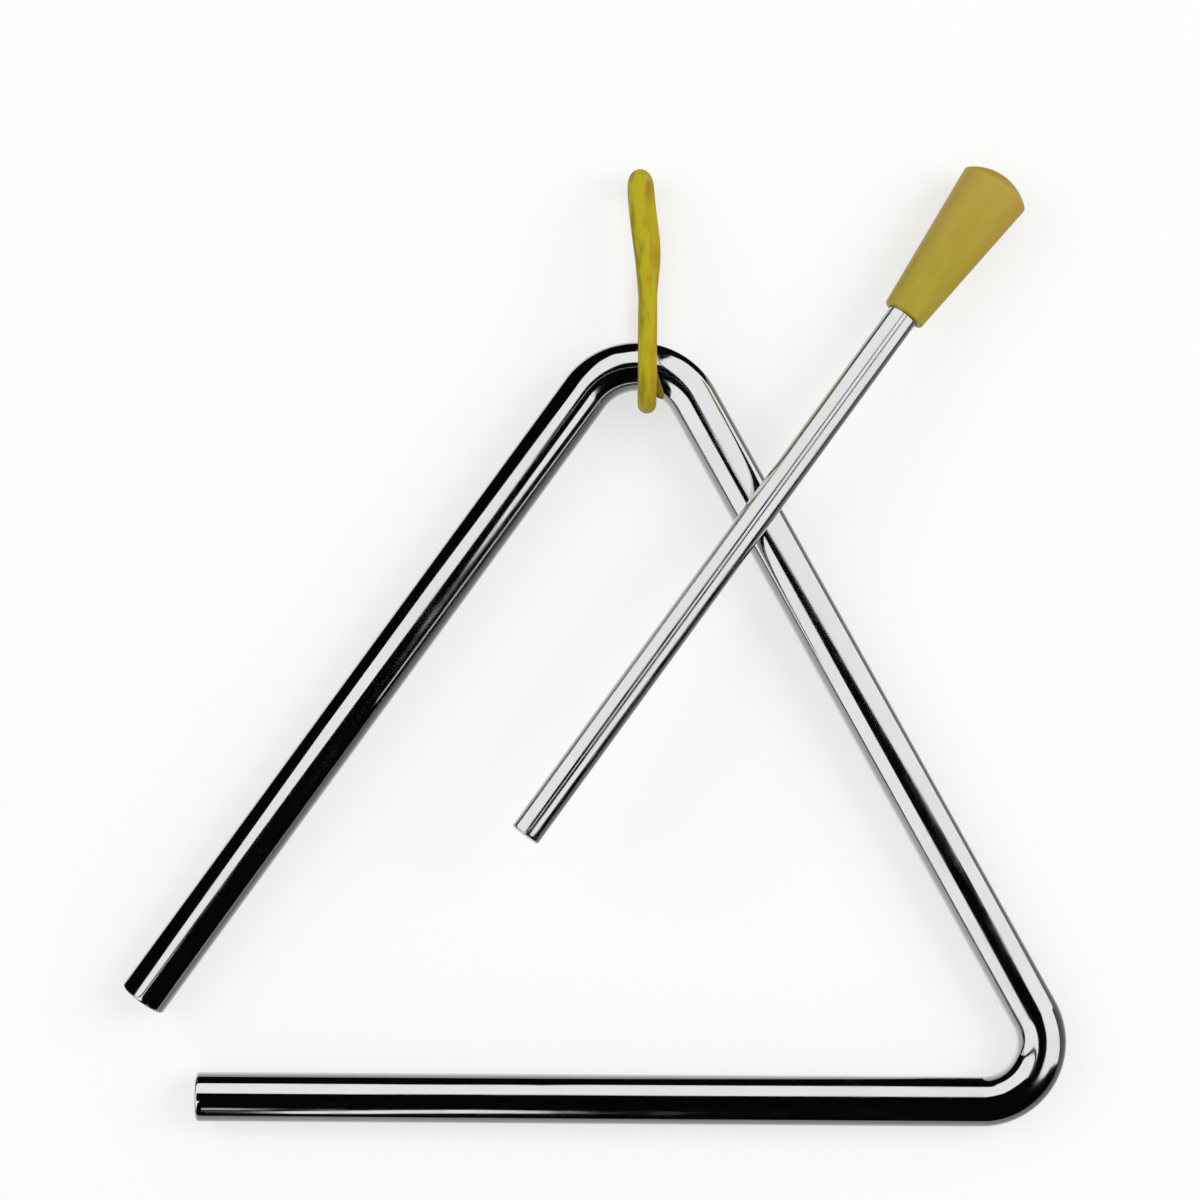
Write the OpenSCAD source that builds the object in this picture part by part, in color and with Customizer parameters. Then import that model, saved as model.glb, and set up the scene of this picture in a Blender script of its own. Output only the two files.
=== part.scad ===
// Triangle instrument lying on a table as it is laid out for a picture: the bent bar with its rubber
// hanging loop, and the beater resting across the right leg.
// +Z is up, +Y runs from the bottom leg towards the apex, and the bottom leg lies along X.
// The origin is on the table, under the middle of the whole object.

/* [Bar] */
// Diameter of the round bar
bar_d = 8; // [6:0.1:10]
// Length of the right leg, between the points where the straight axes would meet
right_leg_len = 146.3; // [120:0.1:200]
// Angle between the two legs at the apex
apex_angle = 65.3; // [58:0.1:70]
// Angle between the two legs at the lower right corner
corner_angle = 60.5; // [56:0.1:66]
// How far the left leg stops short of the open corner's point
left_leg_gap = 19.4; // [15:0.1:40]
// How far the bottom leg stops short of the open corner's point
bottom_leg_gap = 20.2; // [15:0.1:40]
// Radius of the apex bend, to the middle of the bar
apex_bend_r = 10.4; // [8:0.1:16]
// Radius of the lower right bend, to the middle of the bar
corner_bend_r = 9.7; // [8:0.1:16]
// How much further the bar's surface lies from its middle round a bend than along a leg
bend_swell = 0.02; // [0.01:0.01:0.1]
// Chamfer round each free end of the bar
bar_chamfer = 0.5; // [0.2:0.1:1]

/* [Hanging loop] */
// Diameter of the rubber strand
strand_d = 3; // [2:0.1:4]
// Clearance between the strand and the bar
loop_clear = 0.35; // [0.25:0.05:0.6]
// Reach of the loop, from the middle of the bar to the outside of its tip
loop_reach = 32.2; // [26:0.1:42]
// Clear height inside the loop at its tip
eye_tip_gap = 4.6; // [4:0.1:6]
// How far the two strands stand to either side where the loop is widest
strand_spread = 0.82; // [0.3:0.01:1.5]
// How far the tip leans to the left
tip_lean = 1.2; // [0:0.1:3]
// Angle round the apex bend from its crown to the loop, towards the right leg
loop_turn = 9; // [0:1:20]

/* [Beater] */
// Diameter of the rod
rod_d = 5; // [4:0.1:6]
// Length of rod outside the handle
rod_show_len = 103.5; // [90:0.5:125]
// Length of rod inside the handle
rod_grip_len = 18; // [12:0.5:22]
// Chamfer round each end of the rod
rod_chamfer = 0.4; // [0.2:0.1:0.8]
// Length of the handle, dome included
handle_len = 28; // [25:0.5:35]
// Diameter of the handle where the rod enters
handle_near_d = 7.1; // [7:0.1:8.5]
// Diameter of the handle at the rim of its dome
handle_far_d = 11.8; // [10:0.1:14]
// Height of the dome
dome_h = 2.4; // [1.5:0.1:4]
// Round on the edge of the handle where the rod enters, drawn as a chamfer
handle_chamfer = 0.3; // [0.1:0.1:0.5]

/* [Layout on the table] */
// Distance from the apex's corner point to where the beater crosses the right leg
crossing_len = 37.4; // [30:0.1:60]
// Distance from the beater's tip to the crossing
tip_len = 63.5; // [45:0.1:66]
// Angle of the beater from +Y, seen from above
beater_turn = 35.8; // [25:0.1:50]
// Clearance between the beater and the leg that it rests on
crossing_clear = 0.25; // [0.2:0.05:0.5]

/* [Hidden] */
$fn = 96;

// How far one solid runs into the next where they are joined
overrun = 0.2;

bar_r = bar_d / 2;
bend_section_r = bar_r + bend_swell;
strand_r = strand_d / 2;
rod_r = rod_d / 2;
rim_r = handle_far_d / 2;

// The triangle in its own plane: the lower right corner point is [0, 0] and the bottom leg runs along -X
function heading(a) = [cos(a), sin(a)];
open_angle = 180 - apex_angle - corner_angle;
apex_point = right_leg_len * heading(180 - corner_angle);
left_leg_turn = -corner_angle - apex_angle;
left_leg_len = right_leg_len * sin(corner_angle) / sin(open_angle) - left_leg_gap;
bottom_leg_len = right_leg_len * sin(apex_angle) / sin(open_angle) - bottom_leg_gap;
apex_setback = apex_bend_r / tan(apex_angle / 2);
corner_setback = corner_bend_r / tan(corner_angle / 2);
apex_bend_at = apex_point + apex_bend_r / sin(apex_angle / 2) * heading(-corner_angle - apex_angle / 2);
corner_bend_at = corner_bend_r / sin(corner_angle / 2) * heading(180 - corner_angle / 2);
loop_on_bar = apex_bend_at + apex_bend_r * heading(90 - loop_turn);

// The loop's lower strand lies under the apex and lifts it, so the triangle leans on its bottom leg
lean = asin((strand_d + loop_clear) / loop_on_bar[1]);
loop_h = strand_d + loop_clear + bend_section_r;

// The beater rests on the right leg, and the rim of its handle rests on the table
crossing_point = apex_point + crossing_len * heading(-corner_angle);
crossing_leg_h = bend_section_r + crossing_point[1] * sin(lean);
rim_len = rod_show_len + handle_len - dome_h - tip_len;
right_leg_dir = [cos(corner_angle), -sin(corner_angle) * cos(lean), -sin(corner_angle) * sin(lean)];
function beater_dir(slope) =
    [cos(slope) * sin(beater_turn), cos(slope) * cos(beater_turn), -sin(slope)];
function across(slope) = cross(right_leg_dir, beater_dir(slope));
function crossing_h(slope) =
    crossing_leg_h + (bar_r + rod_r + crossing_clear) * norm(across(slope)) / abs(across(slope)[2]);
function slope_from(h) = asin(h / norm([rim_len, rim_r])) - atan2(rim_r, rim_len);
first_slope = slope_from(crossing_h(0));
beater_slope = slope_from(crossing_h(first_slope));

// How far things reach from the lower right corner point, which centres the object on the origin
function chamfered_reach(share, r, chamfer) =
    max((r - chamfer) * sqrt(1 - share * share), r * sqrt(1 - share * share) - chamfer * share);
left_end = apex_point + left_leg_len * heading(left_leg_turn);
low_x = left_end[0] - chamfered_reach(-cos(left_leg_turn), bar_r, bar_chamfer);
high_x = corner_bend_at[0] + corner_bend_r + bend_section_r;
dome_r = (rim_r * rim_r + dome_h * dome_h) / dome_h / 2;
rise_share = beater_dir(beater_slope)[1];
crossing_y = crossing_point[1] * cos(lean);
handle_reach = crossing_y + (rim_len + dome_h - dome_r) * rise_share + dome_r;
low_y = -bend_section_r;
high_y = max(handle_reach, loop_on_bar[1] * cos(lean) + loop_reach);
corner_at = [-(low_x + high_x) / 2, -(low_y + high_y) / 2, bend_section_r];
function laid(p) = corner_at + [p[0], p[1] * cos(lean), p[1] * sin(lean)];
crossing_at = [laid(crossing_point)[0], laid(crossing_point)[1], crossing_h(beater_slope)];
loop_at = laid(loop_on_bar);

// The loop seen from the side, as [reach, height]: half round the bar, half round its tip, and two strands
wrap_r = bend_section_r + loop_clear + strand_r;
tip_r = (eye_tip_gap + strand_d) / 2;
tip_reach = loop_reach - strand_r - tip_r;
strand_fall = 2 * atan((wrap_r - tip_r) / tip_reach);
tip_h = strand_r + tip_r;
strand_steps = 20;
tip_steps = 14;
wrap_steps = 24;
strand_sides = 16;

// Shares of the loop's reach between which the strands part and the tip leans over
spread_start_share = 0.28;
spread_peak_share = 0.68;
lean_start_share = 0.5;
lean_end_share = 0.95;
// How much of the spread is left at the tip
tip_spread_share = 0.85;

function mix(a, b, t) = a + (b - a) * t;
function eased(share, from, to) = pow(sin(90 * max(0, min(1, (share - from) / (to - from)))), 2);
function sideways(reach, side) =
    let (share = reach / loop_reach,
         parted = eased(share, spread_start_share, spread_peak_share)
             - (1 - tip_spread_share) * eased(share, spread_peak_share, 1))
    side * strand_spread * parted - tip_lean * eased(share, lean_start_share, lean_end_share);
function on_strand(reach, height, side) = [sideways(reach, side), reach, height];
function round_tip(a) =
    on_strand(tip_reach + tip_r * cos(a), tip_h + tip_r * sin(a), -sin(90 * sin(a)));
function round_bar(a) = on_strand(wrap_r * cos(a), loop_h + wrap_r * sin(a), 0);
upper_from = [tip_reach, tip_h] + tip_r * heading(90 - strand_fall);
upper_to = [0, loop_h] + wrap_r * heading(90 - strand_fall);
loop_path = concat(
    [for (i = [0:strand_steps - 1]) on_strand(mix(0, tip_reach, i / strand_steps), strand_r, 1)],
    [for (i = [0:tip_steps - 1]) round_tip(mix(-90, 90 - strand_fall, i / tip_steps))],
    [for (i = [0:strand_steps - 1])
        let (p = mix(upper_from, upper_to, i / strand_steps)) on_strand(p[0], p[1], -1)],
    [for (i = [0:wrap_steps - 1]) round_bar(mix(90 - strand_fall, 270, i / wrap_steps))]
);

function unit(v) = v / norm(v);
function ring(i, path, r, sides) =
    let (n = len(path),
         along = unit(path[(i + 1) % n] - path[(i + n - 1) % n]),
         out = unit([1, 0, 0] - along[0] * along),
         up = cross(along, out))
    [for (k = [0:sides - 1]) path[i] + r * (cos(360 * k / sides) * out + sin(360 * k / sides) * up)];

module closed_tube(path, r, sides) {
    n = len(path);
    points = [for (i = [0:n - 1]) each ring(i, path, r, sides)];
    faces = [for (i = [0:n - 1]) for (k = [0:sides - 1])
        let (a = i * sides, b = ((i + 1) % n) * sides, m = (k + 1) % sides)
        each [[a + k, a + m, b + m], [a + k, b + m, b + k]]];
    polyhedron(points, faces, convexity = 6);
}

// A straight length of bar that starts an overrun inside its bend, and a free end chamfered
module leg(from, turn, length) {
    translate([from[0], from[1], 0]) rotate([0, 0, turn]) rotate([0, 90, 0])
        translate([0, 0, -overrun]) cylinder(h = length + overrun, d = bar_d);
}

module free_leg(from, turn, length) {
    leg(from, turn, length - bar_chamfer);
    translate([from[0], from[1], 0]) rotate([0, 0, turn]) rotate([0, 90, 0])
        translate([0, 0, length - bar_chamfer])
            cylinder(h = bar_chamfer, d1 = bar_d, d2 = bar_d - 2 * bar_chamfer);
}

module bend(at, bend_r, first_turn, sweep) {
    translate([at[0], at[1], 0]) rotate([0, 0, first_turn])
        rotate_extrude(angle = sweep) translate([bend_r, 0]) circle(r = bend_section_r);
}

module triangle_bar() {
    color("#d8dadc") translate(corner_at) rotate([lean, 0, 0]) union() {
        free_leg(apex_point + apex_setback * heading(left_leg_turn), left_leg_turn,
            left_leg_len - apex_setback);
        bend(apex_bend_at, apex_bend_r, 90 - corner_angle, 180 - apex_angle);
        leg(apex_point + apex_setback * heading(-corner_angle), -corner_angle,
            right_leg_len - apex_setback - corner_setback + overrun);
        bend(corner_bend_at, corner_bend_r, -90, 180 - corner_angle);
        free_leg(corner_setback * heading(180), 180, bottom_leg_len - corner_setback);
    }
}

module hanging_loop() {
    color("#b2a834") translate([loop_at[0], loop_at[1], 0])
        closed_tube(loop_path, strand_r, strand_sides);
}

// Puts a shape that is drawn along +Z from the beater's tip where the beater lies
module on_beater() {
    translate(crossing_at) rotate([0, 0, -beater_turn]) rotate([-90 - beater_slope, 0, 0])
        translate([0, 0, -tip_len]) children();
}

module beater_rod() {
    rod_len = rod_show_len + rod_grip_len;
    color("#d8dadc") on_beater() {
        cylinder(h = rod_chamfer, d1 = rod_d - 2 * rod_chamfer, d2 = rod_d);
        translate([0, 0, rod_chamfer]) cylinder(h = rod_len - 2 * rod_chamfer, d = rod_d);
        translate([0, 0, rod_len - rod_chamfer])
            cylinder(h = rod_chamfer, d1 = rod_d, d2 = rod_d - 2 * rod_chamfer);
    }
}

module beater_handle() {
    cone_len = handle_len - dome_h;
    flare_share = (handle_far_d - handle_near_d) / cone_len;
    color("#ad9a41") on_beater() translate([0, 0, rod_show_len]) difference() {
        union() {
            cylinder(h = handle_chamfer, d1 = handle_near_d - 2 * handle_chamfer,
                d2 = handle_near_d + flare_share * handle_chamfer);
            translate([0, 0, handle_chamfer]) cylinder(h = cone_len - handle_chamfer,
                d1 = handle_near_d + flare_share * handle_chamfer, d2 = handle_far_d);
            intersection() {
                translate([0, 0, handle_len - dome_r]) sphere(r = dome_r);
                translate([0, 0, cone_len]) cylinder(h = dome_h + overrun, d = handle_far_d);
            }
        }
        translate([0, 0, -overrun]) cylinder(h = rod_grip_len + overrun, d = rod_d);
    }
}

triangle_bar();
hanging_loop();
beater_rod();
beater_handle();
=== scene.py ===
"""Builds the looks of a triangle instrument laid out on a pale table: the bent chromed bar, its rubber
hanging loop, and the beater resting across the right leg.

Everything is in metres in the part's own frame: +Z is up, +Y runs from the bottom leg to the apex, and
the origin is on the table under the middle of the whole object."""

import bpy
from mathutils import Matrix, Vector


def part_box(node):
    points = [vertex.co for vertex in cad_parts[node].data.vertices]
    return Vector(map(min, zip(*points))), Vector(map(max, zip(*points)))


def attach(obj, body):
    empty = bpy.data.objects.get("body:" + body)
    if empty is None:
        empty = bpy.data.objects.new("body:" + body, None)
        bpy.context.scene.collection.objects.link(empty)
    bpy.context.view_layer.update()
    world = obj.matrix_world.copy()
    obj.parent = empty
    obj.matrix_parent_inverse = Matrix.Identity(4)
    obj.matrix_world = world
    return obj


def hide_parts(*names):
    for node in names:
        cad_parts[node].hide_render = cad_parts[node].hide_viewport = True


bl_info = {
    "name": "Triangle Instrument",
    "version": (1, 0, 0),
    "blender": (4, 5, 0),
    "location": "View3D > Sidebar > Triangle",
    "description": "Makes a chromed triangle with its hanging loop and beater, and the table it lies on",
    "category": "Add Mesh",
}

import math

import bmesh
import bpy
from mathutils import Matrix, Vector

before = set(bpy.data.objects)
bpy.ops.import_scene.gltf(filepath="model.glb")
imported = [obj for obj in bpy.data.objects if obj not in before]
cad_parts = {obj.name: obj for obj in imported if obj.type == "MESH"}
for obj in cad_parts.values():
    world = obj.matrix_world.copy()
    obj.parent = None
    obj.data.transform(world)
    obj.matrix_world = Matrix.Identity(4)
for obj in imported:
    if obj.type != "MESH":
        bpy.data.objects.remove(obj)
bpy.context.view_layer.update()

MM = 0.001
# The mesh layer that keeps each vertex's own place, round and along the surface
PLACE_LAYER = "surface_place"


# Sizes and colours that a user would change

class TRIANGLE_PG_bar(bpy.types.PropertyGroup):
    diameter: bpy.props.FloatProperty(
        name="Bar diameter", description="Diameter of the round bar", default=8 * MM, unit="LENGTH")
    bend_swell: bpy.props.FloatProperty(
        name="Bend swell", description="How much further out the surface lies round a bend",
        default=0.02 * MM, unit="LENGTH")
    right_leg: bpy.props.FloatProperty(
        name="Right leg", description="Length of the right leg between the points where the axes meet",
        default=146.3 * MM, unit="LENGTH")
    apex_angle: bpy.props.FloatProperty(
        name="Apex angle", description="Angle between the legs at the apex",
        default=math.radians(65.3), subtype="ANGLE")
    corner_angle: bpy.props.FloatProperty(
        name="Corner angle", description="Angle between the legs at the lower right corner",
        default=math.radians(60.5), subtype="ANGLE")
    left_gap: bpy.props.FloatProperty(
        name="Left leg gap", description="How far the left leg stops short of the open corner",
        default=19.4 * MM, unit="LENGTH")
    bottom_gap: bpy.props.FloatProperty(
        name="Bottom leg gap", description="How far the bottom leg stops short of the open corner",
        default=20.2 * MM, unit="LENGTH")
    apex_bend: bpy.props.FloatProperty(
        name="Apex bend", description="Radius of the apex bend, to the middle of the bar",
        default=10.4 * MM, unit="LENGTH")
    corner_bend: bpy.props.FloatProperty(
        name="Corner bend", description="Radius of the lower right bend, to the middle of the bar",
        default=9.7 * MM, unit="LENGTH")
    end_round: bpy.props.FloatProperty(
        name="End rounding", description="Radius of the edge round each free end",
        default=0.5 * MM, unit="LENGTH")


class TRIANGLE_PG_loop(bpy.types.PropertyGroup):
    strand: bpy.props.FloatProperty(
        name="Strand diameter", description="Diameter of the rubber strand", default=3 * MM, unit="LENGTH")
    clearance: bpy.props.FloatProperty(
        name="Clearance", description="Clearance between the strand and the bar",
        default=0.35 * MM, unit="LENGTH")
    reach: bpy.props.FloatProperty(
        name="Reach", description="From the middle of the bar to the outside of the loop's tip",
        default=32.2 * MM, unit="LENGTH")
    eye_gap: bpy.props.FloatProperty(
        name="Eye at the tip", description="Clear height inside the loop at its tip",
        default=4.6 * MM, unit="LENGTH")
    spread: bpy.props.FloatProperty(
        name="Strand spread", description="How far the strands stand to either side where the loop is widest",
        default=0.82 * MM, unit="LENGTH")
    tip_lean: bpy.props.FloatProperty(
        name="Tip lean", description="How far the tip leans to the left", default=1.2 * MM, unit="LENGTH")
    turn: bpy.props.FloatProperty(
        name="Place on the bend", description="Angle round the apex bend from its crown to the loop",
        default=math.radians(9), subtype="ANGLE")


class TRIANGLE_PG_beater(bpy.types.PropertyGroup):
    rod: bpy.props.FloatProperty(
        name="Rod diameter", description="Diameter of the rod", default=5 * MM, unit="LENGTH")
    rod_shown: bpy.props.FloatProperty(
        name="Rod outside", description="Length of rod outside the handle", default=103.5 * MM, unit="LENGTH")
    rod_gripped: bpy.props.FloatProperty(
        name="Rod inside", description="Length of rod inside the handle", default=18 * MM, unit="LENGTH")
    tip_round: bpy.props.FloatProperty(
        name="Rod end rounding", description="Radius of the edge round each end of the rod",
        default=0.4 * MM, unit="LENGTH")
    handle: bpy.props.FloatProperty(
        name="Handle length", description="Length of the handle, dome included",
        default=28 * MM, unit="LENGTH")
    near: bpy.props.FloatProperty(
        name="Handle near diameter", description="Diameter of the handle where the rod enters",
        default=7.1 * MM, unit="LENGTH")
    far: bpy.props.FloatProperty(
        name="Handle rim diameter", description="Diameter of the handle at the rim of its dome",
        default=11.8 * MM, unit="LENGTH")
    dome: bpy.props.FloatProperty(
        name="Dome height", description="Height of the dome", default=2.4 * MM, unit="LENGTH")
    crossing: bpy.props.FloatProperty(
        name="Crossing", description="From the apex's corner point to where the beater crosses the leg",
        default=37.4 * MM, unit="LENGTH")
    tip_reach: bpy.props.FloatProperty(
        name="Tip reach", description="From the crossing to the beater's tip", default=63.5 * MM, unit="LENGTH")
    turn: bpy.props.FloatProperty(
        name="Turn", description="Angle of the beater from +Y, seen from above",
        default=math.radians(35.8), subtype="ANGLE")
    clearance: bpy.props.FloatProperty(
        name="Clearance", description="Clearance between the beater and the leg it rests on",
        default=0.25 * MM, unit="LENGTH")


def srgb(hex_text):
    """Turns an sRGB hex colour into the linear colour that Blender works in."""
    parts = [int(hex_text[i:i + 2], 16) / 255 for i in (1, 3, 5)]
    return tuple(c / 12.92 if c <= 0.04045 else ((c + 0.055) / 1.055) ** 2.4 for c in parts) + (1.0,)


def colour_property(name, description, hex_text):
    return bpy.props.FloatVectorProperty(
        name=name, description=description, default=srgb(hex_text), size=4, min=0, max=1, subtype="COLOR")


class TRIANGLE_PG_finish(bpy.types.PropertyGroup):
    bar: colour_property("Bar plating", "Colour that the bar's chrome reflects", "#E3E5E4")
    rod: colour_property("Rod plating", "Colour that the rod's chrome reflects", "#E2E4E4")
    # The loop's mottle and streak colours are also painted on the strand's two sides as painted shade: olive on
    # the left, ochre on the right
    loop: colour_property("Loop rubber", "Main colour of the rubber loop", "#AFA110")
    loop_olive_and_side_shade: colour_property("Loop mottle and side shade", "Olive mottle and painted shade on the left side of the rubber strand", "#8C8408")
    loop_streaks_and_side_shade: colour_property("Loop streaks and side shade", "Warmer streaks along the rubber strand and painted shade on its right side", "#A98A16")
    handle: colour_property("Handle plastic", "Main colour of the moulded handle", "#A89426")
    handle_olive: colour_property("Handle shade", "Olive streaks in the handle's plastic", "#9F8E1C")
    handle_end: colour_property("Handle end", "Warmer colour of the handle's wide end", "#B09238")
    floor: colour_property("Table", "Colour of the pale table", "#F4F4F2")


# Where things lie

def heading(turn):
    """The direction at this angle from +X, seen from above."""
    return Vector((math.cos(turn), math.sin(turn)))


class Layout:
    """Works out, from the sizes, where the bar, the loop and the beater lie.

    Flat places are in the bar's own plane, with the origin where the axes of the right and the bottom legs
    meet. The matrix tilt carries them to where the bar leans on the loop's lower strand, and the matrix
    beater_place carries the beater from its own axis, with its tip at the origin, to where it rests."""

    def __init__(self, scene):
        bar, loop = scene.triangle_bar, scene.triangle_loop
        self.bar_r = bar.diameter / 2
        self.section_r = self.bar_r + bar.bend_swell
        apex, corner = bar.apex_angle, bar.corner_angle
        open_corner = math.pi - apex - corner
        self.apex_point = bar.right_leg * heading(math.pi - corner)
        self.left_turn = -corner - apex
        self.right_turn = -corner
        self.left_leg = bar.right_leg * math.sin(corner) / math.sin(open_corner) - bar.left_gap
        self.bottom_leg = bar.right_leg * math.sin(apex) / math.sin(open_corner) - bar.bottom_gap
        self.apex_bend, self.corner_bend = bar.apex_bend, bar.corner_bend
        self.apex_setback = bar.apex_bend / math.tan(apex / 2)
        self.corner_setback = bar.corner_bend / math.tan(corner / 2)
        self.apex_centre = self.apex_point + bar.apex_bend / math.sin(apex / 2) * heading(-corner - apex / 2)
        self.corner_centre = bar.corner_bend / math.sin(corner / 2) * heading(math.pi - corner / 2)

        loop_place = self.apex_centre + bar.apex_bend * heading(math.pi / 2 - loop.turn)
        self.lean = math.asin((loop.strand + loop.clearance) / loop_place.y)
        low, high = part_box("triangle_bar")
        corner_at = Vector((
            high.x - self.corner_centre.x - bar.corner_bend - self.section_r,
            low.y + self.section_r,
            self.section_r))
        self.tilt = Matrix.Translation(corner_at) @ Matrix.Rotation(self.lean, 4, "X")
        self.loop_at = self.tilt @ loop_place.to_3d()
        self.beater_place = self.rested(scene.triangle_beater)

    def rested(self, beater):
        """Lays the beater on the right leg, with the rim of its handle on the table."""
        crossing = self.apex_point + beater.crossing * heading(self.right_turn)
        leg_h = self.section_r + crossing.y * math.sin(self.lean)
        rim_r = beater.far / 2
        rim_reach = beater.rod_shown + beater.handle - beater.dome - beater.tip_reach
        down_leg = math.sin(self.right_turn)
        leg_dir = Vector((
            math.cos(self.right_turn), down_leg * math.cos(self.lean), down_leg * math.sin(self.lean)))

        def direction(slope):
            return Vector((
                math.cos(slope) * math.sin(beater.turn),
                math.cos(slope) * math.cos(beater.turn),
                -math.sin(slope)))

        def height(slope):
            across = leg_dir.cross(direction(slope))
            apart = self.bar_r + beater.rod / 2 + beater.clearance
            return leg_h + apart * across.length / abs(across.z)

        # the slope and the height at the crossing follow from each other, and settle in two rounds
        slope = 0.0
        for _ in range(2):
            slope = math.asin(height(slope) / math.hypot(rim_reach, rim_r)) - math.atan2(rim_r, rim_reach)
        over = self.tilt @ crossing.to_3d()
        return (
            Matrix.Translation((over.x, over.y, height(slope)))
            @ Matrix.Rotation(-beater.turn, 4, "Z")
            @ Matrix.Rotation(-math.pi / 2 - slope, 4, "X")
            @ Matrix.Translation((0, 0, -beater.tip_reach)))


# Mesh tools

LEG_STEPS = 16
HOLD = 1.2 * MM
MERGE_WITHIN = 0.0001 * MM
SHARP_FROM = math.radians(35)


def with_directions(points):
    """Pairs each point of a closed path with the direction that the path has there."""
    before = points[-1:] + points[:-1]
    after = points[1:] + points[:1]
    return [(point, (b - a).normalized()) for point, a, b in zip(points, before, after)]


def ring_matrix(point, along, side):
    """Stands a ring square to the path at a point, with its x as near to side as that lets it be."""
    x = (side - side.dot(along) * along).normalized()
    y = along.cross(x)
    return Matrix((
        (x.x, y.x, along.x, point.x),
        (x.y, y.y, along.y, point.y),
        (x.z, y.z, along.z, point.z),
        (0, 0, 0, 1)))


def sweep(stations, radius, sides, closed):
    """Carries a circle through the stations, and keeps each vertex's place round and along the surface.
    Hands back the mesh and the edges of its first and last rings."""
    bm = bmesh.new()
    place = bm.verts.layers.float_vector.new(PLACE_LAYER)
    ring = bmesh.ops.create_circle(bm, cap_ends=not closed, segments=sides, radius=radius)["verts"]
    for v in ring:
        v[place] = v.co
    bmesh.ops.transform(bm, matrix=stations[0], verts=ring)
    first_edges = edges = list(bm.edges)
    length = 0.0
    for here, there in zip(stations, stations[1:]):
        length += (there.translation - here.translation).length
        made = bmesh.ops.extrude_edge_only(bm, edges=edges)["geom"]
        ring = [g for g in made if isinstance(g, bmesh.types.BMVert)]
        fresh = set(ring)
        edges = [g for g in made if isinstance(g, bmesh.types.BMEdge) and fresh.issuperset(g.verts)]
        bmesh.ops.transform(bm, matrix=there @ here.inverted(), verts=ring)
        for v in ring:
            v[place] = Vector((v[place].x, v[place].y, length))
    if closed:
        bmesh.ops.bridge_loops(bm, edges=first_edges + edges)
    else:
        bmesh.ops.contextual_create(bm, geom=edges)
    return bm, first_edges + edges


def held(start, end):
    """Points between two ends of a straight stretch, close to each end too, so that the rounding beyond
    it doesn't bend the reflections along the stretch."""
    length = (end - start).length
    shares = [HOLD / length + (1 - 2 * HOLD / length) * i / LEG_STEPS for i in range(LEG_STEPS + 1)]
    return [start.lerp(end, share) for share in shares]


def arc(centre, radius, start, stop, steps):
    """Points of an arc in a profile, as (distance from the axis, place along it)."""
    turns = [start + (stop - start) * i / steps for i in range(steps + 1)]
    return [(centre[0] + radius * math.cos(t), centre[1] + radius * math.sin(t)) for t in turns]


def turned(profile, sides, place_in_frame):
    """Spins a profile right round the axis, keeps each vertex's place on the surface, and puts the mesh
    in its place."""
    bm = bmesh.new()
    place = bm.verts.layers.float_vector.new(PLACE_LAYER)
    verts = [bm.verts.new((r, 0, h)) for r, h in profile]
    edges = [bm.edges.new(pair) for pair in zip(verts, verts[1:])]
    bmesh.ops.spin(bm, geom=verts + edges, cent=(0, 0, 0), axis=(0, 0, 1), angle=math.tau,
                   steps=sides, use_merge=True)
    bmesh.ops.remove_doubles(bm, verts=bm.verts, dist=MERGE_WITHIN)
    for v in bm.verts:
        v[place] = v.co
    bmesh.ops.transform(bm, matrix=place_in_frame, verts=bm.verts)
    return bm


def new_object(name, bm, material):
    """Makes the mesh an object in the scene."""
    mesh = bpy.data.meshes.new(name)
    bm.to_mesh(mesh)
    bm.free()
    mesh.materials.append(material)
    made = bpy.data.objects.new(name, mesh)
    bpy.context.scene.collection.objects.link(made)
    return made


def finish_piece(bm, name, material, body, node):
    """Makes the mesh a smooth object that rides on its body and stands for its solid."""
    bmesh.ops.recalc_face_normals(bm, faces=bm.faces)
    piece = new_object(name, bm, material)
    for polygon in piece.data.polygons:
        polygon.use_smooth = True
    piece.data.set_sharp_from_angle(angle=SHARP_FROM)
    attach(piece, body)
    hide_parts(node)


# Materials

def set_inputs(node, inputs):
    """Sets a node's inputs to these values. A socket is linked, and a node by its first output."""
    for key, value in inputs.items():
        if isinstance(value, bpy.types.Node):
            value = value.outputs[0]
        if isinstance(value, bpy.types.NodeSocket):
            node.id_data.links.new(value, node.inputs[key])
        else:
            node.inputs[key].default_value = value


def add_node(tree, kind, inputs=None, stops=(), **settings):
    """Adds a node with its settings, its inputs and, where it is a ramp, its (place, colour) stops."""
    node = tree.nodes.new(kind)
    for name, value in settings.items():
        setattr(node, name, value)
    set_inputs(node, inputs or {})
    if stops:
        elements = node.color_ramp.elements
        elements[0].position, elements[0].color = stops[0]
        elements[1].position, elements[1].color = stops[-1]
        for position, colour in stops[1:-1]:
            elements.new(position).color = colour
    return node


def new_material(name):
    material = bpy.data.materials.new(name)
    material.use_nodes = True
    tree = material.node_tree
    return material, tree, tree.nodes["Principled BSDF"]


def surface_place(tree, along=1):
    """The surface's own place in millimetres: across it in X and Y, and along it in Z. An along under 1
    draws out a pattern that reads it."""
    place = add_node(tree, "ShaderNodeAttribute", attribute_name=PLACE_LAYER).outputs["Vector"]
    return add_node(tree, "ShaderNodeVectorMath", {0: place, 1: (1 / MM, 1 / MM, along / MM)},
                    operation="MULTIPLY")


def clouds(tree, size_mm, detail, along=1):
    """A cloudy pattern on the surface, whose lumps measure about this many millimetres."""
    return add_node(tree, "ShaderNodeTexNoise", {
        "Vector": surface_place(tree, along), "Scale": 1 / size_mm, "Detail": detail})


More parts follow.
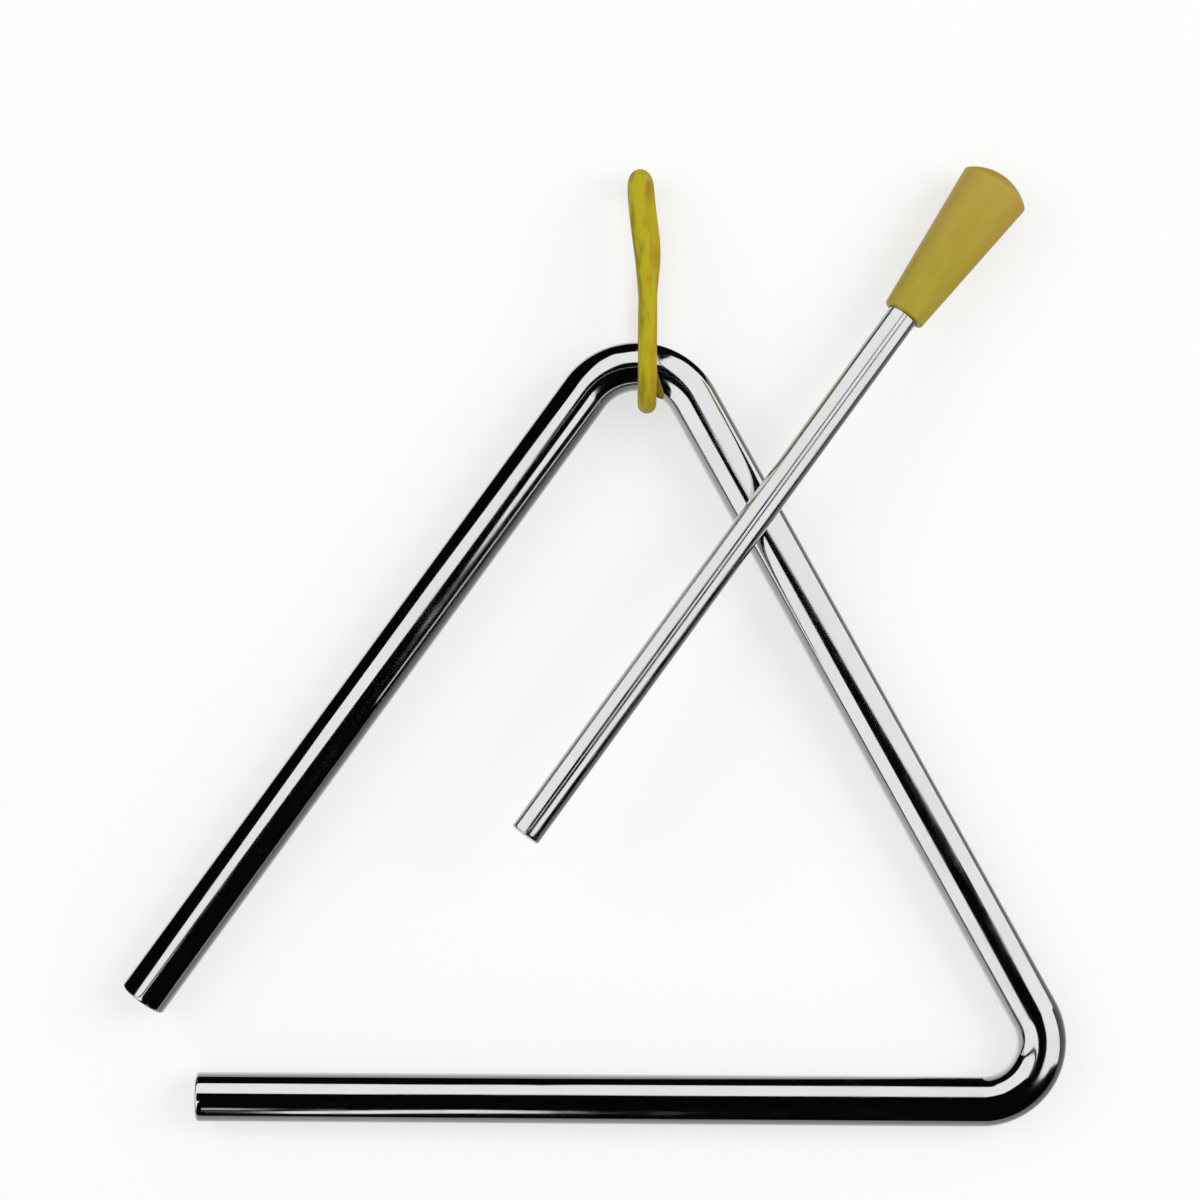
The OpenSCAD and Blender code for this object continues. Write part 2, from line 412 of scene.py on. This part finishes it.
def chrome_plating(name, colour, haze, wave_mm):
    """Bright chromium plating on polished steel. It gives the eye black and white bands that run along the
    metal with edges that are only just soft, faint dull smudges, and a slight wave from the polishing."""
    material, tree, shader = new_material(name)
    smudge = clouds(tree, size_mm=9, detail=4)
    # polishing marks measure hundredths of a millimetre, and are drawn at half a millimetre to show
    rub = clouds(tree, size_mm=0.5, detail=3, along=0.08)
    wave = clouds(tree, size_mm=wave_mm, detail=1, along=0.35)
    dull = tuple(c * 0.94 for c in colour[:3]) + (1.0,)
    both = add_node(tree, "ShaderNodeMath", {0: smudge, 1: rub}, operation="MULTIPLY")
    set_inputs(shader, {
        "Metallic": 1.0,
        "Base Color": add_node(
            tree, "ShaderNodeValToRGB", {"Fac": smudge}, stops=((0.3, colour), (0.8, dull))),
        "Roughness": add_node(tree, "ShaderNodeMapRange", {
            "Value": both, "From Min": 0.15, "From Max": 0.45, "To Min": haze * 0.6, "To Max": haze * 1.5}),
        "Normal": add_node(tree, "ShaderNodeBump", {
            "Height": wave, "Strength": 1.0, "Distance": 0.012 * MM}),
    })
    return material


def moulded_rubber(colour, olive, streak_and_side_shade):
    """Moulded rubber. It gives the eye an olive yellow strand, dull, with painted shade along its sides: darker
    and greener on its left side and darker and warmer on its right, mixed with long uneven streaks over a fine
    grain, and light that goes a little way in."""
    material, tree, shader = new_material("Moulded rubber")
    # Painted shade: the place across the strand turns its left side darker olive and its right side darker
    # ochre, standing in for the shade along its sides; the noise streaks mixed in are the rubber's own
    across = add_node(tree, "ShaderNodeSeparateXYZ", {0: surface_place(tree)}).outputs["X"]
    streaks = add_node(tree, "ShaderNodeMapRange", {
        "Value": clouds(tree, size_mm=1.4, detail=8, along=0.25),
        "From Min": 0.3, "From Max": 0.7, "To Min": -1.7, "To Max": 1.7})
    mixed = add_node(tree, "ShaderNodeMath", {0: across, 1: streaks}, operation="ADD")
    share = add_node(tree, "ShaderNodeMapRange", {"Value": mixed, "From Min": -2.2, "From Max": 2.2})
    grain = clouds(tree, size_mm=0.35, detail=4)
    set_inputs(shader, {
        "Base Color": add_node(tree, "ShaderNodeValToRGB", {"Fac": share}, stops=(
            (0.08, olive), (0.36, colour), (0.62, colour), (0.9, streak_and_side_shade))),
        "Specular IOR Level": 0.25,
        "Subsurface Weight": 0.05,
        "Subsurface Radius": (1.0, 0.7, 0.2),
        "Subsurface Scale": 0.6 * MM,
        "Roughness": add_node(tree, "ShaderNodeMapRange", {
            "Value": grain, "From Min": 0.3, "From Max": 0.7, "To Min": 0.42, "To Max": 0.6}),
        "Normal": add_node(tree, "ShaderNodeBump", {
            "Height": grain, "Strength": 0.7, "Distance": 0.04 * MM}),
    })
    return material


def moulded_plastic(colour, olive, warm):
    """Injection-moulded plastic with a satin skin. It gives the eye an even mustard tan, warmer towards
    the wide end, with faint olive streaks along it and a broad soft sheen."""
    material, tree, shader = new_material("Satin moulded plastic")
    along = add_node(tree, "ShaderNodeSeparateXYZ", {0: surface_place(tree)}).outputs["Z"]
    warmth = add_node(tree, "ShaderNodeMapRange", {
        "Value": along, "From Min": 9, "From Max": 28, "To Min": 0, "To Max": 0.8})
    streaks = clouds(tree, size_mm=1.3, detail=4, along=0.2)
    plain = add_node(tree, "ShaderNodeValToRGB", {"Fac": streaks}, stops=((0.36, olive), (0.6, colour)))
    # a mix node's sockets 6 and 7 and its output 2 are the ones for colours
    base = add_node(tree, "ShaderNodeMix", {0: warmth, 6: plain, 7: warm}, data_type="RGBA")
    # the grain of the spark-eroded mould measures a few hundredths, and is drawn coarser to show
    grain = clouds(tree, size_mm=0.25, detail=3)
    set_inputs(shader, {
        "Base Color": base.outputs[2],
        "Roughness": add_node(tree, "ShaderNodeMapRange", {
            "Value": grain, "From Min": 0.3, "From Max": 0.7, "To Min": 0.36, "To Max": 0.5}),
        "Normal": add_node(tree, "ShaderNodeBump", {
            "Height": grain, "Strength": 0.6, "Distance": 0.02 * MM}),
    })
    return material


# Pieces

BAR_SIDES = 128
BEND_STEPS = 72
END_SEGMENTS = 5


def bar_stations(scene, layout):
    """Frames along the middle of the bar, from the left leg's free end to the bottom leg's."""
    bar = scene.triangle_bar

    def round_bend(centre, radius, start, sweep_angle):
        turns = [start + sweep_angle * i / BEND_STEPS for i in range(BEND_STEPS + 1)]
        return [(centre + radius * heading(turn), turn - math.pi / 2) for turn in turns]

    def straight(start, end, turn):
        return [(place, turn) for place in held(start, end)]

    left_end = layout.apex_point + layout.left_leg * heading(layout.left_turn)
    bottom_end = layout.bottom_leg * heading(math.pi)
    apex = round_bend(layout.apex_centre, bar.apex_bend, layout.left_turn - math.pi / 2 + math.tau,
                      bar.apex_angle - math.pi)
    corner = round_bend(layout.corner_centre, bar.corner_bend, math.pi / 2 - bar.corner_angle,
                        bar.corner_angle - math.pi)
    path = [(left_end, layout.left_turn + math.pi)]
    path += straight(left_end, apex[0][0], layout.left_turn + math.pi) + apex
    path += straight(apex[-1][0], corner[0][0], layout.right_turn) + corner
    path += straight(corner[-1][0], bottom_end, -math.pi)
    path.append((bottom_end, -math.pi))
    up = Vector((0, 0, 1))
    return [layout.tilt @ ring_matrix(point.to_3d(), heading(turn).to_3d(), up) for point, turn in path]


class TRIANGLE_OT_bar(bpy.types.Operator):
    """Makes the bent chromed bar"""
    bl_idname = "triangle.make_bar"
    bl_label = "Make Bar"

    def execute(self, context):
        scene = context.scene
        layout = Layout(scene)
        bm, rims = sweep(bar_stations(scene, layout), layout.bar_r, BAR_SIDES, closed=False)
        bmesh.ops.bevel(bm, geom=rims, offset=scene.triangle_bar.end_round, affect="EDGES",
                        segments=END_SEGMENTS, profile=0.5, material=-1)
        material = chrome_plating("Chrome plated bar", scene.triangle_finish.bar, haze=0.1, wave_mm=7)
        finish_piece(bm, "bent_bar", material, "triangle", "triangle_bar")
        return {"FINISHED"}


TIP_STEPS = 40
STRAND_STEPS = 60
WRAP_STEPS = 72
STRAND_SIDES = 48
# Shares of the loop's reach between which the strands part and the tip leans over
SPREAD_FROM, SPREAD_AT, LEAN_FROM, LEAN_AT = 0.28, 0.68, 0.5, 0.95
# How much of the spread is left at the tip
TIP_SPREAD = 0.85


def eased(share, start, end):
    """Goes smoothly from 0 to 1 while the share goes from start to end."""
    return math.sin(math.pi / 2 * max(0, min(1, (share - start) / (end - start)))) ** 2


def loop_stations(scene, layout):
    """Frames along the strand: out under the eye, round the tip, back over it and round the bar."""
    loop = scene.triangle_loop
    r = loop.strand / 2
    wrap_r = layout.section_r + loop.clearance + r
    tip_r = (loop.eye_gap + loop.strand) / 2
    tip_reach = loop.reach - r - tip_r
    fall = 2 * math.atan((wrap_r - tip_r) / tip_reach)
    middle_h = loop.strand + loop.clearance + layout.section_r

    def sideways(reach, side):
        share = reach / loop.reach
        parted = eased(share, SPREAD_FROM, SPREAD_AT) - (1 - TIP_SPREAD) * eased(share, SPREAD_AT, 1)
        return side * loop.spread * parted - loop.tip_lean * eased(share, LEAN_FROM, LEAN_AT)

    def at(reach, height, side):
        return Vector((layout.loop_at.x + sideways(reach, side), layout.loop_at.y + reach, height))

    top = math.pi / 2 - fall
    upper_from = Vector((tip_reach, r + tip_r)) + tip_r * heading(top)
    upper_to = Vector((0, middle_h)) + wrap_r * heading(top)
    points = [at(tip_reach * i / STRAND_STEPS, r, 1) for i in range(STRAND_STEPS)]
    for i in range(TIP_STEPS):
        a = -math.pi / 2 + (top + math.pi / 2) * i / TIP_STEPS
        side = -math.sin(math.pi / 2 * math.sin(a))
        points.append(at(tip_reach + tip_r * math.cos(a), r + tip_r + tip_r * math.sin(a), side))
    for i in range(STRAND_STEPS):
        p = upper_from.lerp(upper_to, i / STRAND_STEPS)
        points.append(at(p.x, p.y, -1))
    for i in range(WRAP_STEPS):
        a = top + (math.pi * 3 / 2 - top) * i / WRAP_STEPS
        points.append(at(wrap_r * math.cos(a), middle_h + wrap_r * math.sin(a), 0))
    across = Vector((1, 0, 0))
    return [ring_matrix(point, along, across) for point, along in with_directions(points)]


class TRIANGLE_OT_loop(bpy.types.Operator):
    """Makes the rubber loop that hangs on the apex bend"""
    bl_idname = "triangle.make_loop"
    bl_label = "Make Hanging Loop"

    def execute(self, context):
        scene = context.scene
        stations = loop_stations(scene, Layout(scene))
        bm, _ = sweep(stations, scene.triangle_loop.strand / 2, STRAND_SIDES, closed=True)
        finish = scene.triangle_finish
        material = moulded_rubber(finish.loop, finish.loop_olive_and_side_shade, finish.loop_streaks_and_side_shade)
        finish_piece(bm, "rubber_loop", material, "loop", "hanging_loop")
        return {"FINISHED"}


ROD_SIDES = 96
HANDLE_SIDES = 128
EDGE_STEPS = 6
RIM_STEPS = 8
DOME_STEPS = 24
# The handle's edge roundings, at its near end and at the rim of its dome
NEAR_ROUND = 0.35 * MM
RIM_ROUND = 0.5 * MM
# The bore's chamfered mouth, and how much wider than the rod it is drawn, so that the two surfaces never
# share a place
MOUTH_CHAMFER = 0.18 * MM
BORE_GAP = 0.03 * MM


def rod_profile(beater):
    """The rod's profile, from the middle of its tip to the middle of its hidden end."""
    r, edge = beater.rod / 2, beater.tip_round
    length = beater.rod_shown + beater.rod_gripped
    tip = arc((r - edge, edge), edge, -math.pi / 2, 0, EDGE_STEPS)
    side = held(Vector((r, edge)), Vector((r, length - edge)))
    hidden_end = arc((r - edge, length - edge), edge, 0, math.pi / 2, EDGE_STEPS)
    return [(0, 0)] + tip + side + hidden_end + [(0, length)]


def rim_centre(near_r, flare, dome_r, dome_h):
    """The centre of the rounding that touches the cone's line and the dome, in the handle's profile."""
    low, high = dome_h, dome_h + dome_r
    # halving the stretch this often leaves less than a float can hold
    for _ in range(60):
        h = (low + high) / 2
        r = near_r + (h - RIM_ROUND * math.sin(-flare)) * math.tan(flare) - RIM_ROUND * math.cos(flare)
        if math.hypot(r, h - dome_h) < dome_r - RIM_ROUND:
            low = h
        else:
            high = h
    return (r, h)


def handle_profile(beater):
    """The handle's profile, from the floor of its bore, out of the mouth and round to the dome's top."""
    near_r, rim_r, bore_r = beater.near / 2, beater.far / 2, beater.rod / 2 + BORE_GAP
    flare = math.atan2(rim_r - near_r, beater.handle - beater.dome)
    dome_r = (rim_r ** 2 + beater.dome ** 2) / beater.dome / 2
    dome_h = beater.handle - dome_r
    rim_c = rim_centre(near_r, flare, dome_r, dome_h)
    to_dome = math.atan2(rim_c[1] - dome_h, rim_c[0])
    bore = [(0, beater.rod_gripped), (bore_r, beater.rod_gripped), (bore_r, MOUTH_CHAMFER),
            (bore_r + MOUTH_CHAMFER, 0)]
    near_edge = arc((near_r - NEAR_ROUND, NEAR_ROUND), NEAR_ROUND, -math.pi / 2, -flare, EDGE_STEPS)
    rim = arc(rim_c, RIM_ROUND, -flare, to_dome, RIM_STEPS)
    dome = arc((0, dome_h), dome_r, to_dome, math.pi / 2, DOME_STEPS)
    dome[-1] = (0, dome[-1][1])
    return bore + near_edge + held(Vector(near_edge[-1]), Vector(rim[0])) + rim + dome


class TRIANGLE_OT_rod(bpy.types.Operator):
    """Makes the beater's chromed rod"""
    bl_idname = "triangle.make_rod"
    bl_label = "Make Beater Rod"

    def execute(self, context):
        scene = context.scene
        bm = turned(rod_profile(scene.triangle_beater), ROD_SIDES, Layout(scene).beater_place)
        material = chrome_plating("Chrome plated rod", scene.triangle_finish.rod, haze=0.16, wave_mm=5)
        finish_piece(bm, "striking_rod", material, "beater", "beater_rod")
        return {"FINISHED"}


class TRIANGLE_OT_handle(bpy.types.Operator):
    """Makes the beater's moulded handle"""
    bl_idname = "triangle.make_handle"
    bl_label = "Make Beater Handle"

    def execute(self, context):
        scene = context.scene
        beater = scene.triangle_beater
        past_rod = Matrix.Translation((0, 0, beater.rod_shown))
        bm = turned(handle_profile(beater), HANDLE_SIDES, Layout(scene).beater_place @ past_rod)
        finish = scene.triangle_finish
        material = moulded_plastic(finish.handle, finish.handle_olive, finish.handle_end)
        finish_piece(bm, "moulded_handle", material, "beater", "beater_handle")
        return {"FINISHED"}


# What the chrome mirrors: painted reflections, glowing panels and black sheets. Only reflections see them, and
# they light nothing.

# How far the panels, the curtain behind them and the painted room reflection behind both hang from the object
PANEL_REACH, CURTAIN_REACH, ROOM_REACH = 0.98, 1.0, 1.02
PANEL_CUTS = 19
MIRRORS_ONLY = ("camera", "diffuse", "transmission", "volume_scatter", "shadow")
WHITE = srgb("#FFFFFF")

# Outlines of the panels, as seen from the table: each corner is degrees from straight up, split between
# +X and +Y.
RIGHT_PANEL = (
    (0, -1), (6, 3), (9.5, 5), (10.5, 18), (11, 30), (13, 40), (20, 55), (28, 68), (37, 84), (50, 86),
    (60, 82), (80, 70), (96, 57), (106, 40), (106, 33), (96, 26), (86, 20), (87, 7), (88, -5), (88, -20),
    (85, -34), (69, -31), (56, -29), (47, -31), (40, -30), (34, -27.5), (30, -25.5), (24, -21), (21, -17),
    (24, -12), (27, -6), (30, -2), (35, 3), (42, 9), (39, 10), (31, 7), (23, 5), (14, 3.5), (6, 0.5))
BACK_PANEL = (
    (9, 24), (12, 39), (17, 62), (18, 72), (10, 77), (0, 74), (-11, 70), (-22, 74), (-32, 74), (-42, 84),
    (-57, 79), (-69, 66), (-82, 48), (-87, 40), (-68, 8), (-50, -2), (-37, -6.5), (-29, -6.5), (-24, -5.5),
    (-19.5, -3.6), (-16, -0.8), (-11, 0.7), (-5, 1.5), (-4, 3), (-9, 5), (-11.5, 9), (-12, 19), (-4, 21),
    (2, 21), (6, 23))
LEFT_PANEL = (
    (-14, -6.5), (-15, -15), (-14, -22), (-18, -28), (-25, -34), (-35, -41), (-49, -52), (-62, -61),
    (-70, -49), (-76, -37), (-84, -21), (-95, -4), (-100, 10), (-90, 14), (-78, 7), (-62, -2), (-50, -8),
    (-38, -12), (-28, -11), (-20, -9))
FRONT_STRIP = (
    (-9, -67), (-7, -61), (-4.9, -55), (-3.1, -51), (-1.8, -53), (-1.2, -58), (-1.4, -67), (-3.2, -68),
    (-5, -70), (-7, -75), (-9.2, -77))
FRONT_STUB = ((-10.6, -50), (-8.7, -50), (-8.7, -58), (-10.7, -60))
# How far down the curtain hangs, in degrees from straight up, at each 15 degrees round from +X
CURTAIN_HEM = (92, 96, 103, 148, 150, 150, 118, 115, 113, 116, 118, 118, 110, 100, 92, 94, 91, 93, 97, 98,
               98, 98, 102, 96)
CURTAIN = tuple(tuple(zenith * heading(math.radians(15 * i))) for i, zenith in enumerate(CURTAIN_HEM))
# The painted grey room reflection's brightness, by its height from its lowest point to the table
ROOM_GREYS = ((0.0, 0.75), (0.38, 0.34), (0.72, 0.26), (0.9, 0.22))
# How much brighter or dimmer the painted room reflection is at its left and at its right
ROOM_LEFT, ROOM_RIGHT = 1.75, 0.35

# Black cards close to the legs, painted reflections that only reflections see, which keep what lies beside a
# leg out of its reflection. Each line is how far along the leg from its free end, then how far out from the
# bar's axis and how high above it the card's two edges lie there, in millimetres.
LEFT_FLAG = tuple((along, 5.6, -0.3, 5.6, height) for along, height in (
    (-6, 9.3), (0, 8.8), (10, 7.7), (20, 7.1), (40, 6.0), (52, 5.5), (82, 5.5), (95, 6.1), (110, 6.6),
    (121, 7.1), (124, 5.9), (126, 4.6), (129, 3.5), (132, 2.8)))
BOTTOM_INNER_CARD = tuple((along, -5.6, low, -5.6, high) for along, low, high in (
    (-1, 1.2, 4.0), (40, 1.2, 3.95), (60, 1.2, 3.65), (80, 1.2, 3.3), (112, 1.2, 3.2), (127, 1.2, 3.2),
    (131, 1.0, 3.4), (135, 1.0, 3.6), (139, 1.0, 3.6)))
BOTTOM_TOP_CARD = tuple((along, 0.5, 5.5, inner, 5.5) for along, inner in (
    (-1, -1.83), (30, -1.85), (60, -1.95), (100, -2.1), (127, -2.15), (131, -2.1), (136, -1.5)))


def glow_material(name, strength):
    """An even white glow, a painted reflection as of a panel of paper, or of black cloth where it is weak."""
    material, tree, shader = new_material(name)
    tree.nodes.remove(shader)
    glow = add_node(tree, "ShaderNodeEmission", {"Color": WHITE, "Strength": strength})
    set_inputs(tree.nodes["Material Output"], {"Surface": glow})
    material.cycles.emission_sampling = "NONE"
    return material


def stage_object(name, bm, material, unseen_by):
    """Makes a part of the stage that these kinds of ray don't see."""
    gear = new_object(name, bm, material)
    for ray in unseen_by:
        setattr(gear, "visible_" + ray, False)


def panel(name, outline, reach, material):
    """Hangs a panel of this outline on a dome of this reach over the table, a painted reflection that only
    reflections see.
    """
    bm = bmesh.new()
    bm.faces.new([bm.verts.new((x, y, 0)) for x, y in outline])
    bmesh.ops.triangulate(bm, faces=bm.faces)
    bmesh.ops.subdivide_edges(bm, edges=bm.edges, cuts=PANEL_CUTS, use_grid_fill=True)
    for v in bm.verts:
        flat = v.co.to_2d()
        zenith = math.radians(flat.length)
        side = flat.normalized()
        v.co = reach * Vector((math.sin(zenith) * side.x, math.sin(zenith) * side.y, math.cos(zenith)))
    stage_object(name, bm, material, MIRRORS_ONLY)


def painted_room_reflection(name):
    """A painted reflection of a grey room round the panels, a glow that only reflections see: lighter towards
    the floor under the bar, and dimmer on the right.
    """
    bm = bmesh.new()
    bmesh.ops.create_uvsphere(bm, u_segments=64, v_segments=48, radius=ROOM_REACH)
    material = glow_material(name, 1.0)
    tree = material.node_tree
    place = add_node(tree, "ShaderNodeTexCoord").outputs["Object"]
    at = add_node(tree, "ShaderNodeSeparateXYZ", {0: place}).outputs
    height = add_node(tree, "ShaderNodeMapRange", {"Value": at["Z"], "From Min": -ROOM_REACH, "From Max": 0})
    grey = add_node(tree, "ShaderNodeValToRGB", {"Fac": height}, stops=[
        (share, (level, level, level, 1)) for share, level in ROOM_GREYS])
    side = add_node(tree, "ShaderNodeMapRange", {
        "Value": at["X"], "From Min": -ROOM_REACH, "From Max": ROOM_REACH,
        "To Min": ROOM_LEFT, "To Max": ROOM_RIGHT})
    set_inputs(tree.nodes["Emission"], {"Color": grey, "Strength": side})
    stage_object(name, bm, material, MIRRORS_ONLY)


def leg_card(name, layout, leg, lines, material):
    """Hangs a card, a painted reflection that only reflections see, along the left or the bottom leg, and on
    round the bend at the leg's end.
    """
    # out is on the left of the way along the left leg, and on the right of the way along the bottom one
    if leg == "left":
        way, end, centre = layout.left_turn + math.pi, layout.apex_point, layout.apex_centre
        length, setback, bend, hand = layout.left_leg, layout.apex_setback, layout.apex_bend, 1
    else:
        way, end, centre = 0.0, Vector((0, 0)), layout.corner_centre
        length, setback, bend, hand = layout.bottom_leg, layout.corner_setback, layout.corner_bend, -1
    bm = bmesh.new()
    edges = ([], [])
    for along, *places in lines:
        turned_by = max(0.0, along * MM - length + setback) / bend
        out = heading(way + hand * (math.pi / 2 - turned_by))
        if turned_by:
            middle = centre + bend * out
        else:
            middle = end - (length - along * MM) * heading(way)
        for edge, side, height in zip(edges, places[::2], places[1::2]):
            flat = middle + side * MM * out
            edge.append(bm.verts.new(layout.tilt @ Vector((flat.x, flat.y, height * MM))))
    sides = [bm.edges.new(pair) for edge in edges for pair in zip(edge, edge[1:])]
    bmesh.ops.bridge_loops(bm, edges=sides)
    stage_object(name, bm, material, MIRRORS_ONLY)


# The table, the lights and the camera

# Half the table's width
TABLE_REACH = 3.0
# How strongly the world lights the object, and how much of the table's own white the camera sees
WORLD_LIGHT = 0.62
TABLE_WHITE = 0.6
# Each soft light's name, place and watts
LAMPS = (
    ("Soft light from the left", (-0.9, 0.35, 0.9), 4.5),
    ("Soft light from the right", (0.9, 0.25, 0.9), 7.5),
)
LAMP_SIZE = 0.8
# The camera's place and its turn, and how wide the picture is this far below it
CAMERA_AT = (0.36 * MM, 7.27 * MM, 700 * MM)
CAMERA_TURN = math.radians(0.375)
SENSOR_MM = 36
VIEW_DEPTH_MM, VIEW_WIDTH_MM = 694.5, 193.92
CLIP_START = 0.01


def background_rays(tree):
    """1 for the rays that should see a plain white background: the camera's, and reflected or bent ones."""
    path = add_node(tree, "ShaderNodeLightPath").outputs
    seen = add_node(tree, "ShaderNodeMath", {
        0: path["Is Camera Ray"], 1: path["Is Glossy Ray"]}, operation="MAXIMUM")
    return add_node(tree, "ShaderNodeMath", {0: seen, 1: path["Is Transmission Ray"]}, operation="MAXIMUM")


def pale_world(scene):
    """An even pale light from all round, that looks plain white itself."""
    world = bpy.data.worlds.new("Pale studio")
    world.use_nodes = True
    scene.world = world
    tree = world.node_tree
    strength = add_node(tree, "ShaderNodeMapRange", {
        "Value": background_rays(tree), "To Min": WORLD_LIGHT, "To Max": 1.0})
    set_inputs(tree.nodes["Background"], {"Color": WHITE, "Strength": strength})


def pale_table(colour):
    """A pale matt table that takes the object's shadow. The chrome mirrors the painted grey room reflection in
    its place.
    """
    bm = bmesh.new()
    bmesh.ops.create_grid(bm, x_segments=1, y_segments=1, size=TABLE_REACH)
    material, tree, shader = new_material("Pale table top")
    set_inputs(shader, {"Base Color": colour, "Roughness": 0.9, "Specular IOR Level": 0.0})
    glow = add_node(tree, "ShaderNodeEmission", {"Color": WHITE, "Strength": 1.0})
    share = add_node(tree, "ShaderNodeMath", {0: background_rays(tree), 1: TABLE_WHITE}, operation="MULTIPLY")
    mixed = add_node(tree, "ShaderNodeMixShader", {0: share, 1: shader, 2: glow})
    set_inputs(tree.nodes["Material Output"], {"Surface": mixed})
    stage_object("table", bm, material, ("glossy",))


def soft_light(scene, name, place, watts):
    """Hangs a square lamp that faces the object. The chrome doesn't mirror it."""
    lamp = bpy.data.lights.new(name, "AREA")
    lamp.shape = "SQUARE"
    lamp.size = LAMP_SIZE
    lamp.energy = watts
    light = bpy.data.objects.new(name, lamp)
    light.location = place
    light.rotation_euler = (-Vector(place)).to_track_quat("-Z", "Y").to_euler()
    light.visible_glossy = False
    scene.collection.objects.link(light)


def camera_overhead(scene, name):
    """A camera that looks straight down, with +Y at the top of the picture."""
    camera = bpy.data.cameras.new(name)
    camera.sensor_width = SENSOR_MM
    camera.lens = SENSOR_MM * VIEW_DEPTH_MM / VIEW_WIDTH_MM
    camera.clip_start = CLIP_START
    eye = bpy.data.objects.new(name, camera)
    eye.location = CAMERA_AT
    eye.rotation_euler = (0, 0, CAMERA_TURN)
    scene.collection.objects.link(eye)
    scene.camera = eye


class TRIANGLE_OT_studio(bpy.types.Operator):
    """Makes the table, the soft lights, the panels that the chrome mirrors, and the camera"""
    bl_idname = "triangle.make_studio"
    bl_label = "Make Studio"

    def execute(self, context):
        scene = context.scene
        layout = Layout(scene)
        pale_world(scene)
        pale_table(scene.triangle_finish.floor)

        # The painted grey reflection round it all, seen only by reflections
        painted_room_reflection("Painted grey room reflection")
        # The painted reflections in the chrome: black and white glows that only reflections see
        black = glow_material("Painted black reflection", 0.002)
        white = glow_material("Painted white reflection", 1.0)
        shaded = glow_material("Painted dim reflection", 0.5)
        panel("Black curtain", CURTAIN, CURTAIN_REACH, black)
        for name, outline, paper in (
                ("Right panel", RIGHT_PANEL, white),
                ("Back panel", BACK_PANEL, white),
                ("Left panel", LEFT_PANEL, white),
                ("Front strip", FRONT_STRIP, white),
                ("Front stub", FRONT_STUB, shaded)):
            panel(name, outline, PANEL_REACH, paper)
        for name, leg, lines in (
                ("Flag outside the left leg", "left", LEFT_FLAG),
                ("Card inside the bottom leg", "bottom", BOTTOM_INNER_CARD),
                ("Card over the bottom leg", "bottom", BOTTOM_TOP_CARD)):
            leg_card(name, layout, leg, lines, black)

        for name, place, watts in LAMPS:
            soft_light(scene, name, place, watts)
        camera_overhead(scene, "Camera over the table")
        scene.view_settings.view_transform = "Standard"
        return {"FINISHED"}


class TRIANGLE_PT_panel(bpy.types.Panel):
    """Lists what can be made"""
    bl_idname = "TRIANGLE_PT_panel"
    bl_label = "Triangle Instrument"
    bl_space_type = "VIEW_3D"
    bl_region_type = "UI"
    bl_category = "Triangle"

    def draw(self, context):
        for operator in OPERATORS:
            self.layout.operator(operator.bl_idname)
        for group in GROUPS:
            settings = getattr(context.scene, group)
            for name in settings.bl_rna.properties.keys():
                if name not in ("rna_type", "name"):
                    self.layout.prop(settings, name)


GROUPS = {
    "triangle_bar": TRIANGLE_PG_bar,
    "triangle_loop": TRIANGLE_PG_loop,
    "triangle_beater": TRIANGLE_PG_beater,
    "triangle_finish": TRIANGLE_PG_finish,
}
OPERATORS = (TRIANGLE_OT_studio, TRIANGLE_OT_bar, TRIANGLE_OT_loop, TRIANGLE_OT_rod, TRIANGLE_OT_handle)
CLASSES = (*GROUPS.values(), *OPERATORS, TRIANGLE_PT_panel)


def register():
    for cls in CLASSES:
        bpy.utils.register_class(cls)
    for name, group in GROUPS.items():
        setattr(bpy.types.Scene, name, bpy.props.PointerProperty(type=group))


def unregister():
    for name in GROUPS:
        delattr(bpy.types.Scene, name)
    for cls in reversed(CLASSES):
        bpy.utils.unregister_class(cls)


def main():
    register()
    for operator in OPERATORS:
        family, name = operator.bl_idname.split(".")
        getattr(getattr(bpy.ops, family), name)()


if __name__ == "__main__":
    main()
